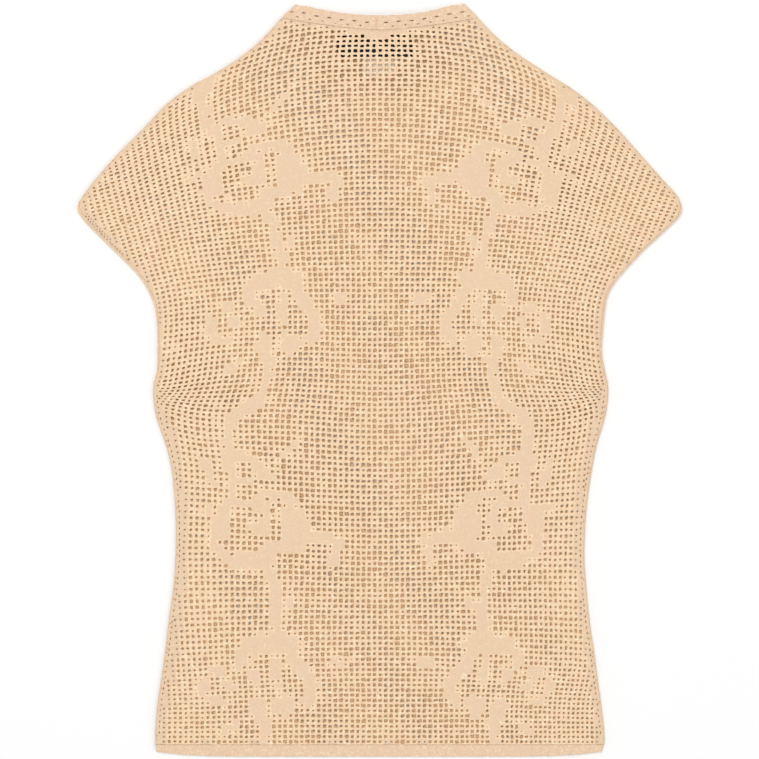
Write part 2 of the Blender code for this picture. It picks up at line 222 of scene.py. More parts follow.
# Holes left open inside the filled parts.
OPENINGS = (
    Petal(-26.6, 103.2, 1.5, 0.8, -50.0),
    Petal(-21.2, 83.3, 2.4, 0.75, 24.0),
)
HALF_FILLED = 0.2             # holes this near the edge of a petal, in holes, are partly drawn shut
UNEVEN_EDGE = 0.17            # spread of the petals' edges from hole to hole, in holes

# ---- strands and edges of the net ----
HOLE_SHARE_ACROSS = 0.60      # width of a hole over the spacing of the columns
HOLE_SHARE_ALONG = 0.56       # height of a hole over the spacing of the rows
HOLE_CORNER_SHARE = 0.48      # how far a hole reaches into its corners
STRAND_ROUNDING = 0.40        # how far a strand's sides lie below its crown
KNOT_RISE = 0.07              # where strands cross, they stand this far above the wall's face
STRAND_DIP = 0.03             # and between their crossings they lie this far below it
FRONT_SHIFT = 0.46            # how far the front's net lies out of step with the back's, in holes
FRONT_SWAY = 0.28             # and how far it wanders from there
FRONT_HOLE_SHARE = 0.445      # how far a hole of the front, which has 4 corners, reaches into them
NECK_NARROWING = 6.0          # the holes grow to full size over this far below the neck seam
NECK_LEAST_SIZE = 0.45        # their size at the seam, over their full size
NECK_GORE_DEPTH = 8.0         # closed knit below the middle of the neck seam, which dips to a point
NECK_GORE_REACH = 34.0
SIDE_NARROWING = 0.17         # the holes are this share smaller towards the sides and sleeves
SIDE_NARROWS_FROM = 95.0      # distance from the centre line at which that starts
SIDE_NARROWS_OVER = 70.0      # and the distance over which it comes in
# How uneven the knitting is: spreads of chance, in millimetres for a stray and otherwise as shares.
CORNER_STRAY = 0.11
MIDDLE_STRAY = 0.10
HOLE_STRAY = 0.13
SIZE_SPREAD = 0.13
SHAPE_SPREAD = 0.12
SLIMNESS_SPREAD = 0.10
SLIT_CLEARANCE = 0.5          # small slits in the closed knit stay this far from its rim
# Chains of narrow slits run up the closed knit of each side, where it is wide enough: one along
# the folded edge, and two fine lines near the tip of a sleeve.
Chain = namedtuple("Chain", "inset pitch half_length low high least_margin")
CHAINS = (
    Chain(1.15, 4.4, 1.05, 10.0, 296.0, 2.4),
    Chain(1.4, 2.0, 0.74, 392.0, 432.0, 2.2),
    Chain(3.6, 2.0, 0.74, 404.0, 434.0, 4.3),
)
CHAIN_UNEVENNESS = 0.08       # how far a slit strays along its chain, over the chain's pitch
SLIT_SPACING = 2.5            # other slits stay this far from the chains
SLIT_SHARE = 0.7              # their length over the room between two rows, at most
SLIT_CORNERS = np.radians((20.0, 110.0, 200.0, 290.0))
STITCH_LINES = 7              # lines of stitches up the closed knit of each side
STITCH_LINE_STEP = 0.95
STITCH_STEP = 1.45            # spacing of the stitches along their lines
STITCH_CLEARANCE = 0.5        # they keep this far from strands, slits and the rim
STITCH_RELIEF = 0.32          # every second line lies this far lower
EDGE_STEP = 1.1               # spacing of points along the panels' edges
EDGE_SLIT_SHARE = 0.16        # share of a folded edge that lies open as slits between its strands
SEED = 11
NET, CLOSED = 0, 1            # the two kinds of faces: strands of the net, and closed knit
NO_TRIS = np.zeros((0, 3), int)
SIDES = ((-1, "left"), (1, "right"))


# ---- outline ----
def smoothstep(t):
    """Eases from 0 to 1 as t does, with no change of slope at either end."""
    t = np.clip(t, 0.0, 1.0)
    return t * t * (3.0 - 2.0 * t)


def mix(a, b, t):
    return a + (b - a) * t


def pick(table, rows):
    """A table's numbers in these rows. Its further axes, where it has any, are those of rows."""
    return table[rows] if table.ndim == 1 else np.take_along_axis(table, rows[None], 0)[0]


def smooth_curve(at, values, x):
    """A smooth curve through the values at the rising positions: numbers, or arrays shaped as x."""
    at, values = np.asarray(at, float), np.asarray(values, float)
    x = np.clip(x, at[0], at[-1])
    k = np.clip(np.searchsorted(at, x, side="left") - 1, 0, len(at) - 2)
    low, high = np.maximum(np.arange(len(at)) - 1, 0), np.minimum(np.arange(len(at)) + 1, len(at) - 1)
    slope = ((values[high] - values[low]).T / (at[high] - at[low])).T
    span = at[k + 1] - at[k]
    t = (x - at[k]) / span
    lean = t * (1 - t) * ((1 - t) * pick(slope, k) - t * pick(slope, k + 1)) * span
    return mix(pick(values, k), pick(values, k + 1), smoothstep(t)) + lean


def turned(x, y, degrees):
    """How far a place lies along and across a direction that is turned this far from the x axis."""
    turn = math.radians(degrees)
    return x * math.cos(turn) + y * math.sin(turn), y * math.cos(turn) - x * math.sin(turn)


def column(rows, name):
    return [getattr(row, name) for row in rows]


def half_width(height, side):
    """How far the outline reaches to one side at a height."""
    return smooth_curve(column(OUTLINE, "height"), column(OUTLINE, side), height)


def reach_at(x, height):
    return np.where(x < 0, half_width(height, "left"), half_width(height, "right"))


def neck_seam(x):
    """Height of the seam between the net and the neck trim."""
    share = np.minimum(np.abs(x) / reach_at(x, NECK_SEAM_HEIGHT), 1.0)
    return NECK_SEAM_HEIGHT - NECK_SEAM_DIP * (1.0 - share ** 1.5)


def in_neck_gore(x, height):
    """Whether a place lies in the closed knit below the middle of the neck seam."""
    return neck_seam(x) - height < NECK_GORE_DEPTH * (1.0 - np.abs(x - JOIN_X) / NECK_GORE_REACH)


def swell_height(x, height):
    """How far the upper layer stands off the lower one, beyond lying flat on it."""
    x, height = np.asarray(x, float), np.asarray(height, float)
    fade = smoothstep(np.minimum(reach_at(x, height) - np.abs(x), height - HEM_TOP - GAP) / SWELL_FADE)
    rise = np.zeros(np.broadcast(x, height).shape)
    for swell in SWELLS:
        u = (x - swell.x) / swell.half_x
        v = (height - swell.height) / swell.half_height
        rise = rise + swell.rise * smoothstep(1.35 * (1.0 - np.hypot(u, v)))
    for sign, side in SIDES:
        root_x = sign * (half_width(FOLD_ROOT_HEIGHT, side) - BINDING_WIDTH)
        inward = -sign * (x - root_x)
        upward = height - FOLD_ROOT_HEIGHT
        for fold in UNDERARM_FOLDS:
            along, across = turned(inward, upward, fold.angle)
            grow = smoothstep(along / fold.start) * smoothstep((fold.end - along) / fold.end * 1.6)
            rise = rise + fold.crest * grow * np.exp(-((across / fold.half_width) ** 2))
    return rise * fade


# ---- layout of the net ----
def net_point(col, row):
    """Where a place in the net lies, counted in holes across from the centre and up from the hem."""
    rows = column(NET_ROWS, "row")

    def read(name):
        return smooth_curve(rows, column(NET_ROWS, name), row)

    count = np.abs(col)
    t = np.minimum(count / PITCH_FADE_COLUMNS, 1.0)
    faded = PITCH_FADE_COLUMNS * (t ** 3 - t ** 4 / 2) + np.maximum(count - PITCH_FADE_COLUMNS, 0.0)
    pitch = read("pitch")
    side_pitch = np.where(col < 0, read("pitch_left"), read("pitch_right"))
    out = pitch * count + (side_pitch - pitch) * faded
    x = NET_CENTRE_X + np.sign(col) * out
    near, mid, far = read("drop_near"), read("drop_mid"), read("drop_far")
    # the first drop mirrors the near one, so that each row is level at the centre line
    drops = (near, 0 * near, near, mid, far, far + (far - mid) * 0.6)
    height = read("height") - smooth_curve(DROP_AT, drops, out)
    for gather in GATHERS:
        near = np.exp(-((x - gather.x) ** 2 + (height - gather.height) ** 2) / gather.radius ** 2)
        height = gather.height + (height - gather.height) * (1 - gather.pull * near)
    return x, height


def petal_depth(petal, col, row):
    """How far inside a petal a place lies, in holes: below 0 is outside."""
    along, across = turned(col - petal.column, row - petal.row, petal.turn)
    size = np.hypot(along / petal.half_length, across / petal.half_width)
    return (1.0 - size) * petal.half_width


def stem_depth(stem, col, row):
    """How far inside a stem a place lies, in holes: below 0 is outside."""
    best = np.full(np.shape(col), -99.0)
    for (c0, r0), (c1, r1) in zip(stem.points, stem.points[1:]):
        run = (c1 - c0) ** 2 + (r1 - r0) ** 2
        t = np.clip(((col - c0) * (c1 - c0) + (row - r0) * (r1 - r0)) / run, 0.0, 1.0)
        away = np.hypot(col - mix(c0, c1, t), row - mix(r0, r1, t))
        best = np.maximum(best, stem.half_width - away)
    return best


def drawn_depth(shapes, col, row):
    """How far inside the nearest of the shapes a place lies, in holes."""
    depth_in = {Petal: petal_depth, Stem: stem_depth}
    return np.max([depth_in[type(shape)](shape, col, row) for shape in shapes], axis=0)


def rose_depth(col, row):
    """How far inside the roses' filled parts a hole lies, in holes: below 0 is open net."""
    col = np.where(col > ROSE_MIRROR / 2, ROSE_MIRROR - col, col)
    depth = drawn_depth(BUD, col, row)
    for lifted in (row, row + ROSE_REPEAT):
        drawn = drawn_depth(OPEN_ROSE + HANGING_ROSE, col, lifted)
        depth = np.maximum(depth, np.minimum(drawn, -drawn_depth(OPENINGS, col, lifted)))
    return depth


# ---- edges of the panels ----
# The rolled edges of the sleeve openings taper out at both of their ends.
ROLL_WIDTH = {"left": 2.8, "right": 1.5}
ROLL_LOW_WIDTH = 1.5          # width of both in their lower part
ROLL_WIDENS = 345.0           # height from which they widen
ROLL_WIDENING = 45.0          # height over which they do
ROLL_FOOT = UNDERARM_HEIGHT - 2.0
ROLL_HEAD = SLEEVE_TIP_HEIGHT + 2.0
ROLL_TAPER = 12.0
ROLL_LEAST = 0.5
ROLL_ANGLES = np.radians((0.0, 28.0, 56.0, 84.0))
RIM_STEP = 0.15               # a panel's flat part ends this far short of its rolled edge
RING_STEP = 0.0004            # keeps the lines of an edge that isn't rolled from falling together
# Width of closed knit between a panel's rolled edge and its first holes, up each side.
Margin = namedtuple("Margin", "height left right")
MARGINS = [Margin(*row) for row in (
    (0.0, 5.6, 3.4), (90.0, 6.0, 3.4), (180.0, 5.0, 3.6), (215.0, 5.6, 5.2), (258.0, 7.2, 5.6),
    (284.0, 3.4, 4.0), (303.0, 1.3, 2.8), (345.0, 0.9, 2.2), (380.0, 1.2, 1.2), (400.0, 3.4, 0.4),
    (414.0, 5.0, 0.4), (430.0, 5.2, 0.5), (445.0, 2.8, 0.6), (455.0, 0.9, 0.8), (480.0, 0.6, 0.5),
    (560.0, 0.6, 0.6), (592.0, 0.8, 0.8),
)]


def margin_width(height, side):
    return smooth_curve(column(MARGINS, "height"), column(MARGINS, side), height)


def roll_width(height, side):
    """Width of a sleeve opening's rolled edge, which is 0 away from the opening."""
    grow = smoothstep(np.minimum(height - ROLL_FOOT, ROLL_HEAD - height) / ROLL_TAPER)
    full = mix(ROLL_LOW_WIDTH, ROLL_WIDTH[side], smoothstep((height - ROLL_WIDENS) / ROLL_WIDENING))
    width = mix(ROLL_LEAST, full, grow)
    return np.where((height > ROLL_FOOT) & (height < ROLL_HEAD), width, 0.0)


def edge_turn(height):
    """1 where a panel's edge rounds over to meet the other panel, 0 along a sleeve opening."""
    fade = 2.0
    below = 1.0 - smoothstep((height - (ROLL_FOOT - fade)) / fade)
    above = smoothstep((height - ROLL_HEAD) / fade)
    return np.maximum(below, above)


def flat_reach(height, side):
    """How far from the centre line a panel stays flat, before its edge rounds over."""
    reach = half_width(height, side)
    return mix(reach - roll_width(height, side) - SEAM, reach - FOLD_RADIUS, edge_turn(height))


def edge_rings(height, side):
    """Lines along one side of a panel, from its flat part out over the rolled edge.

    Each is (x without its sign, depth below flat, lean of the surface).
    """
    turn = edge_turn(height)
    bend = FOLD_RADIUS - WALL / 2
    flat_end = flat_reach(height, side)
    none = np.zeros_like(height)
    rings = [(flat_end - RIM_STEP, none, none)]
    for angle in ROLL_ANGLES:
        lean = angle * turn
        x = flat_end + bend * np.sin(lean) * turn
        rings.append((x + RING_STEP * len(rings), bend * (1 - np.cos(lean)) * turn, lean))
    return rings


# ---- faces and edges ----
def four_corners(grid):
    """What a grid holds at the four corners of its cells, going round each cell."""
    return grid[:-1, :-1], grid[1:, :-1], grid[1:, 1:], grid[:-1, 1:]


def ring_edges(rings):
    """The edges of closed rings of points: one ring, or one in each row."""
    return np.stack((rings, np.roll(rings, -1, -1)), -1).reshape(-1, 2)


def face_edges(faces):
    """The edges of faces, the first edges of all of them first."""
    sides = faces.shape[1]
    return np.concatenate([np.stack((faces[:, k], faces[:, (k + 1) % sides]), 1) for k in range(sides)])


def free_edges(edges, count):
    """The edges along which no neighbour runs the other way. count is more than any point's number."""
    key, back = edges[:, 0] * count + edges[:, 1], edges[:, 1] * count + edges[:, 0]
    return edges[~np.isin(key, back)]


def inside_polygon(points, start, end):
    """Whether each point lies inside the closed lines given by their segments' ends."""
    x, y = points[:, 0][:, None], points[:, 1][:, None]
    (x0, y0), (x1, y1) = start.T, end.T
    spans = (y0[None] > y) != (y1[None] > y)
    with np.errstate(divide="ignore", invalid="ignore"):
        cross = x0 + (y - y0) / (y1 - y0) * (x1 - x0)
    return (spans & (x < cross)).sum(1) % 2 == 1


def inside_ring(points, ring):
    """Whether each point lies inside one closed line and near the garment."""
    x, height = points.T
    near = (np.abs(x) < NET_REACH) & (height > 0) & (height < LENGTH)
    inside = np.zeros(len(points), bool)
    inside[near] = inside_polygon(points[near], ring, np.roll(ring, -1, 0))
    return inside


# ---- plan of a panel ----
PlanArrays = namedtuple("PlanArrays", "x h crown lean depth quads quad_kind tris tri_kind")


class NetPlan:
    """Points and faces of one panel's net as seen from above, before it has any thickness."""

    def __init__(self, shift, sway, seed, full_holes):
        self.rng = np.random.default_rng(seed)
        self.x, self.h, self.crown, self.lean, self.depth = [], [], [], [], []
        self.count = 0
        self.quads, self.quad_kind = [], []
        self.tris, self.tri_kind = [], []
        self.shift, self.sway, self.full_holes = shift, sway, full_holes
        self.lay_edges()
        self.lay_cells()
        self.lay_slits()
        self.lay_stitches()
        self.lay_margin()

    def arrays(self):
        """The whole plan, each kind of thing in one array."""
        return PlanArrays(*[np.concatenate(getattr(self, name)) for name in PlanArrays._fields])

    def add_points(self, x, h, crown=0.0, lean=0.0, depth=0.0):
        """Adds points and returns their numbers. crown is how far one lies below the wall's face."""
        shape = np.shape(x)
        for store, value in ((self.x, x), (self.h, h), (self.crown, crown),
                             (self.lean, lean), (self.depth, depth)):
            store.append(np.broadcast_to(value, shape).ravel().astype(float))
        ids = np.arange(self.count, self.count + int(np.prod(shape))).reshape(shape)
        self.count += ids.size
        return ids

    def add_quads(self, quads, kind):
        self.quads.append(quads.reshape(-1, 4))
        self.quad_kind.append(np.full(len(self.quads[-1]), kind))

    def spots(self, ids):
        """Where points lie in the plan."""
        return np.stack((np.concatenate(self.x)[ids], np.concatenate(self.h)[ids]), -1)

    def between(self, left, right):
        """Even places across the panel between two of its points, without the points themselves."""
        start, end = self.spots([left, right])[:, 0]
        return np.linspace(start, end, int((end - start) / EDGE_STEP))[1:-1]

    def lay_edges(self):
        """The rolled edges up both sides, and the line inside which the net lies."""
        top = NECK_SEAM_HEIGHT - SEAM
        heights = np.linspace(PANEL_LOW, top, int((top - PANEL_LOW) / EDGE_STEP))
        inner = []
        for sign, side in SIDES:
            ids = []
            for x, depth, lean in edge_rings(heights, side):
                ids.append(self.add_points(sign * x, heights, 0.0, sign * lean, depth))
            corners = four_corners(np.array(ids))
            quads = np.stack(corners if sign > 0 else corners[:1] + corners[:0:-1], -1)
            self.add_quads(quads[self.edge_strands(heights)], CLOSED)
            inner.append(ids[0])
        left, right = inner
        x = self.between(left[-1], right[-1])
        top_ids = self.add_points(x, neck_seam(x) - SEAM)
        x = self.between(left[0], right[0])
        bottom_ids = self.add_points(x, np.full(len(x), PANEL_LOW))
        self.rim = np.concatenate((left, top_ids, right[::-1], bottom_ids[::-1]))

    def edge_strands(self, heights):
        """Which faces of a folded edge are knit: short slits across it are left open."""
        knit = np.ones((len(ROLL_ANGLES), len(heights) - 1), bool)
        chance = EDGE_SLIT_SHARE * edge_turn(heights[:-1]) * np.where(heights[:-1] > ROLL_HEAD, 1.0, 0.5)
        slit = self.rng.uniform(0, 1, len(chance)) < chance
        slit[0] = slit[-1] = False
        slit[1:] &= ~slit[:-1]
        knit[1:3, slit] = False
        return knit

    def shrunk_rim(self, inset):
        """The rim's points moved inwards."""
        rim = self.spots(self.rim)
        ahead = np.roll(rim, -1, 0) - np.roll(rim, 1, 0)
        outward = np.stack((-ahead[:, 1], ahead[:, 0]), 1)
        outward /= np.linalg.norm(outward, axis=1)[:, None]
        return rim - outward * inset

    def well_inside(self, x, h):
        """Cells whose corners all lie inside the rim and clear of the closed knit up its sides."""
        inside = inside_ring(np.stack((x.ravel(), h.ravel()), 1), self.shrunk_rim(RIM_CLEARANCE))
        inside = inside.reshape(x.shape)
        for sign, side in SIDES:
            inside &= sign * x < flat_reach(h, side) - margin_width(h, side)
        return np.logical_and.reduce(four_corners(inside))

    def midpoints(self, x, h, axis):
        """Points half-way between neighbours along one axis of the grid, a little out of line."""
        mid_x, mid_h = [(np.delete(grid, -1, axis) + np.delete(grid, 0, axis)) / 2 for grid in (x, h)]
        jitter = self.rng.normal(0, MIDDLE_STRAY, (2, *mid_x.shape))
        return mid_x + jitter[0], mid_h + jitter[1]

    def lay_cells(self):
        """Every hole of the net with the strands round it, or the closed knit of a filled one."""
        col, row = np.meshgrid(np.arange(2 * COLUMN_REACH + 2) - COLUMN_REACH - 0.5,
                               np.arange(ROW_COUNT + 1) - 0.5, indexing="ij")
        sway = self.sway * np.sin(row * 0.11 + col * 0.19)
        x, h = net_point(col + self.shift + sway, row + self.shift + sway)
        jitter = self.rng.normal(0, CORNER_STRAY, (2, *x.shape))
        x, h = x + jitter[0], h + jitter[1]
        keep = self.well_inside(x, h)
        a, b, c, d = four_corners(h)
        # the cells left out: where each one's middle lies, and half the height of its row
        cells = np.stack((sum(four_corners(x)) / 4, sum(four_corners(h)) / 4, (d + c - a - b) / 4), -1)
        self.spare = cells[~keep]

        def number(grids, parts, crown):
            """Adds those points of a grid that the cells use, and gives each cell's part of them."""
            used = np.zeros(grids[0].shape, bool)
            for part in parts(used):
                part |= keep
            ids = np.full(used.shape, -1)
            ids[used] = self.add_points(grids[0][used], grids[1][used], crown)
            return [part[keep] for part in parts(ids)]

        across, along = self.midpoints(x, h, 0), self.midpoints(x, h, 1)
        corners = number((x, h), four_corners, -KNOT_RISE)
        low, high = number(across, lambda grid: (grid[:, :-1], grid[:, 1:]), STRAND_DIP)
        left, right = number(along, lambda grid: (grid[:-1], grid[1:]), STRAND_DIP)
        rim = np.stack(corners, 1)
        if self.full_holes:
            rim = np.stack([ids for pair in zip(corners, (low, right, high, left)) for ids in pair], 1)
        self.fill_cells(rim, np.argwhere(keep) - (COLUMN_REACH, 0) + self.shift)
        self.cell_rims = rim

    def hole_sizes(self, mid_x, mid_h, half_drawn):
        """How large each hole is beside the usual one of its cell."""
        size = np.clip(self.rng.normal(1.0, SIZE_SPREAD, len(mid_x)), 0.62, 1.3)
        size[half_drawn] *= self.rng.uniform(0.35, 0.85, half_drawn.sum())
        below_seam = neck_seam(mid_x) - mid_h - 1.0
        size *= mix(NECK_LEAST_SIZE, 1.0, smoothstep(below_seam / NECK_NARROWING))
        far_out = smoothstep((np.abs(mid_x) - SIDE_NARROWS_FROM) / SIDE_NARROWS_OVER)
        return size * (1.0 - SIDE_NARROWING * far_out)

    def hole_shapes(self, count, sides):
        """How far each hole reaches towards the points of its cell's rim."""
        if self.full_holes:
            shape = np.tile((HOLE_CORNER_SHARE, HOLE_SHARE_ALONG, HOLE_CORNER_SHARE, HOLE_SHARE_ACROSS), 2)
            slimmer = self.rng.normal(0.0, SLIMNESS_SPREAD, (count, 1))
            shape = shape * (1.0 + slimmer * np.tile((0.0, 1.0, 0.0, -1.0), 2))
        else:
            shape = np.full(sides, FRONT_HOLE_SHARE)
        return shape * self.rng.normal(1.0, SHAPE_SPREAD, (count, sides))

    def fill_cells(self, rim, place):
        """Lays the faces of each cell, from its rim and its place in the net."""
        count, sides = rim.shape
        depth = rose_depth(*place.T) + UNEVEN_EDGE * self.rng.normal(0, 1, count).clip(-1.6, 1.6)
        rim_x, rim_h = np.concatenate(self.x)[rim], np.concatenate(self.h)[rim]
        mid_x, mid_h = rim_x.mean(1), rim_h.mean(1)
        filled = (depth > HALF_FILLED) | in_neck_gore(mid_x, mid_h)
        size = self.hole_sizes(mid_x, mid_h, (depth > -HALF_FILLED) & ~filled)
        share = self.hole_shapes(count, sides) * size[:, None]
        shift = self.rng.normal(0, HOLE_STRAY, (2, count, 1))

        closed = rim[filled]
        if self.full_holes:
            sunk = self.rng.normal(0.02, 0.05, len(closed))
            middle = self.add_points(mid_x[filled], mid_h[filled], sunk)
            for k in range(0, sides, 2):
                quads = np.stack((closed[:, k], closed[:, k + 1], middle, closed[:, k - 1]), 1)
                self.add_quads(quads, CLOSED)
        else:
            self.add_quads(closed, CLOSED)

        outer = rim[~filled]
        ring_x = mix(mid_x[:, None] + shift[0], rim_x, share)
        ring_h = mix(mid_h[:, None] + shift[1], rim_h, share)
        inner = self.add_points(ring_x[~filled], ring_h[~filled], STRAND_ROUNDING)
        for k in range(sides):
            n = (k + 1) % sides
            self.add_quads(np.stack((outer[:, k], outer[:, n], inner[:, n], inner[:, k]), 1), NET)

    def chain_spots(self):
        """The slits of the chains up both sides: where each lies, its turn and its half length."""
        spots = []
        for sign, side in SIDES:
            for chain in CHAINS:
                height = np.arange(PANEL_LOW + chain.low, chain.high, chain.pitch)
                height = height + chain.pitch * self.rng.uniform(-1, 1, len(height)) * CHAIN_UNEVENNESS
                height = height[margin_width(height, side) > chain.least_margin]
                x = flat_reach(height, side) - chain.inset + self.rng.uniform(-0.2, 0.2, len(height))
                ahead = flat_reach(height + 1.0, side) - flat_reach(height - 1.0, side)
                turn = -sign * np.arctan2(ahead, 2.0)
                spots.append(np.stack((sign * x, height, turn, np.full(len(x), chain.half_length)), 1))
        return np.concatenate(spots)

    def lay_slits(self):
        """Small slits in the closed knit of the margins, where the net's pattern of holes runs on."""
        chain = self.chain_spots()
        spare = self.spare[inside_ring(self.spare[:, :2], self.shrunk_rim(SLIT_CLEARANCE + 0.3))]
        spare = spare[~in_neck_gore(spare[:, 0], spare[:, 1])]

        def distance(others):
            return np.linalg.norm(spare[:, None, :2] - others[None], axis=2).min(1)

        spare = spare[distance(chain[:, :2]) > SLIT_SPACING]
        room = distance(self.spots(self.rim)) - SLIT_CLEARANCE
        wide = np.clip(room, 0.35, 1.0) * self.rng.uniform(0.7, 1.2, len(room))
        tall = np.clip(room * 0.8, 0.3, 0.9) * self.rng.uniform(0.7, 1.1, len(room))
        tall = np.minimum(tall, SLIT_SHARE * spare[:, 2])
        narrow = self.rng.uniform(0.34, 0.50, len(chain))
        long = self.rng.uniform(0.75, 1.25, len(chain)) * chain[:, 3]
        turn = np.concatenate((np.zeros(len(spare)), chain[:, 2]))[:, None]
        centre = np.concatenate((spare[:, :2], chain[:, :2]))
        wide, tall = np.concatenate((wide, narrow))[:, None], np.concatenate((tall, long))[:, None]
        u, v = wide * np.cos(SLIT_CORNERS), tall * np.sin(SLIT_CORNERS)
        x = centre[:, :1] + u * np.cos(turn) - v * np.sin(turn)
        h = centre[:, 1:] + u * np.sin(turn) + v * np.cos(turn)
        self.slits = self.add_points(x, h, 0.3)

    def lay_stitches(self):
        """Raised stitches that make the closed knit up the sides uneven."""
        stitches = []
        for sign, side in SIDES:
            for line in range(1, STITCH_LINES + 1):
                height = np.arange(PANEL_LOW + 1.0, NECK_SEAM_HEIGHT - 1.5, STITCH_STEP)
                height = height + (line % 2) * STITCH_STEP / 2 + self.rng.normal(0, 0.16, len(height))
                inset = line * STITCH_LINE_STEP + self.rng.normal(0, 0.1, len(height))
                x = sign * (flat_reach(height, side) - inset)
                crown = STITCH_RELIEF * ((line + 1) % 2) * mix(1.0, 1.6, 1.0 - edge_turn(height))
                crown = crown + self.rng.normal(0, 0.07, len(height))
                wanted = inset < margin_width(height, side) - 0.3
                stitches.append(np.stack((x, height, crown), 1)[wanted])
        stitches = np.concatenate(stitches)
        fixed = np.concatenate((self.cell_rims.ravel(), self.rim, self.slits.ravel()))
        fixed = self.spots(np.unique(fixed))
        fixed = fixed[np.argsort(fixed[:, 1])]
        free = np.ones(len(stitches), bool)
        for k, (x, height, _) in enumerate(stitches):
            low, high = np.searchsorted(fixed[:, 1], (height - 0.6, height + 0.6))
            near = fixed[low:high] - (x, height)
            free[k] = len(near) == 0 or np.hypot(*near.T).min() > STITCH_CLEARANCE
        self.stitches = self.add_points(*stitches[free].T)

    def lay_margin(self):
        """Closed knit between the outermost strands and the rim."""
        border = free_edges(ring_edges(self.cell_rims), self.count)
        rim_edges, slit_edges = ring_edges(self.rim), ring_edges(self.slits)
        ids = np.unique(np.concatenate((border.ravel(), self.rim, self.slits.ravel(), self.stitches)))
        local = np.full(self.count, -1)
        local[ids] = np.arange(len(ids))
        flat = [Vector(spot) for spot in self.spots(ids)]
        lines = [tuple(e) for e in local[np.concatenate((border, rim_edges, slit_edges))].tolist()]
        points, _, faces, originals, _, _ = delaunay_2d_cdt(flat, lines, [], 1, 1e-7)
        if len(points) > len(flat):
            raise ValueError("a slit crosses a strand or another slit")
        source = np.array([o[0] for o in originals])
        faces = np.array([f for f in faces if len(f) == 3])
        corners = np.array([(p.x, p.y) for p in points])[faces]
        in_net, in_rim, in_slit = [
            inside_polygon(corners.mean(1), self.spots(edges[:, 0]), self.spots(edges[:, 1]))
            for edges in (border, rim_edges, slit_edges)]
        wanted = in_rim & ~in_net & ~in_slit
        tris = ids[source[faces[wanted]]]
        a, b, c = np.moveaxis(corners[wanted], 1, 0)
        turn = (b[:, 0] - a[:, 0]) * (c[:, 1] - a[:, 1]) - (b[:, 1] - a[:, 1]) * (c[:, 0] - a[:, 0])
        tris[turn < 0] = tris[turn < 0][:, ::-1]
        self.tris.append(tris)
        self.tri_kind.append(np.full(len(tris), CLOSED))


# ---- meshes ----
def face_normals(points, faces):
    """Normals of faces as long as twice their areas."""
    if faces.shape[1] == 4:
        a, b, c, d = np.moveaxis(points[faces], 1, 0)
        return np.cross(c - a, d - b)
    a, b, c = np.moveaxis(points[faces], 1, 0)
    return np.cross(b - a, c - a)


def vertex_normals(points, quads, tris):
    """The mean direction of the faces round each point, large faces counting more."""
    total = np.zeros_like(points)
    for faces in (quads, tris):
        flat = face_normals(points, faces)
        for k in range(faces.shape[1]):
            np.add.at(total, faces[:, k], flat)
    size = np.linalg.norm(total, axis=1)[:, None]
    return total / np.maximum(size, 1e-12)


def closed_faces(quads, tris, count):
    """Faces of the wall between an upper surface and its twin, numbered count further on."""
    free = free_edges(np.concatenate((face_edges(quads), face_edges(tris))), count)
    walls = np.stack((free[:, 0], free[:, 0] + count, free[:, 1] + count, free[:, 1]), 1)
    all_quads = np.concatenate((quads, quads[:, ::-1] + count, walls))
    all_tris = np.concatenate((tris, tris[:, ::-1] + count))
    return all_quads, all_tris, len(walls)


def new_object(name, data, place=(0.0, 0.0, 0.0)):
    obj = bpy.data.objects.new(name, data)
    bpy.context.scene.collection.objects.link(obj)
    obj.location = place
    return obj


def mesh_object(name, points, quads, tris, kinds, normals, materials):
    """One object from points in millimetres, whose heights become the plan's Y."""
    mesh = bpy.data.meshes.new(name)
    place = points.copy()
    place[:, 1] -= LENGTH / 2
    mesh.vertices.add(len(points))
    mesh.vertices.foreach_set("co", (place * MM).astype(np.float32).ravel())
    corners = np.concatenate((quads.ravel(), tris.ravel())).astype(np.int32)
    starts = np.concatenate((np.arange(len(quads)) * 4, len(quads) * 4 + np.arange(len(tris)) * 3))
    mesh.loops.add(len(corners))
    mesh.loops.foreach_set("vertex_index", corners)
    mesh.polygons.add(len(starts))
    mesh.polygons.foreach_set("loop_start", starts.astype(np.int32))
    for mat in materials:
        mesh.materials.append(mat)
    mesh.polygons.foreach_set("material_index", kinds.astype(np.int32))
    mesh.update(calc_edges=True)
    mesh.shade_smooth()
    mesh.normals_split_custom_set_from_vertices(normals.tolist())
    return new_object(name, mesh)


def solid_piece(name, points, quads, mat):
    """A closed piece made of quads, its faces turned outwards."""
    a, c = points[quads[:, 0]], points[quads[:, 2]]
    volume = (np.cross(points[quads[:, 1]], c) * a).sum() + (np.cross(c, points[quads[:, 3]]) * a).sum()
    if volume < 0:
        quads = quads[:, ::-1]
    normals = vertex_normals(points, quads, NO_TRIS)
    return mesh_object(name, points, quads, NO_TRIS, np.zeros(len(quads), int), normals, [mat])


# ---- materials ----
def set_inputs(tree, node, inputs):
    """Sets a node's inputs to values, or joins them to the outputs of other nodes."""
    for name, value in inputs.items():
        if isinstance(value, bpy.types.NodeSocket):
            tree.links.new(value, node.inputs[name])
        else:
            node.inputs[name].default_value = value
    return node


def add_node(tree, kind, inputs):
    return set_inputs(tree, tree.nodes.new("ShaderNode" + kind), inputs)


def new_material(name, inputs):
    """A material with these values on its shader, its node tree and the shader."""
    mat = bpy.data.materials.new(name)
    mat.use_nodes = True
    tree = mat.node_tree
    return mat, tree, set_inputs(tree, tree.nodes["Principled BSDF"], inputs)


def add_bump(tree, shader, height, strength, distance):
    bump = add_node(tree, "Bump", {"Strength": strength, "Distance": distance, "Height": height})
    set_inputs(tree, shader, {"Normal": bump.outputs["Normal"]})


def opaque(colour):
    return (*colour, 1.0)


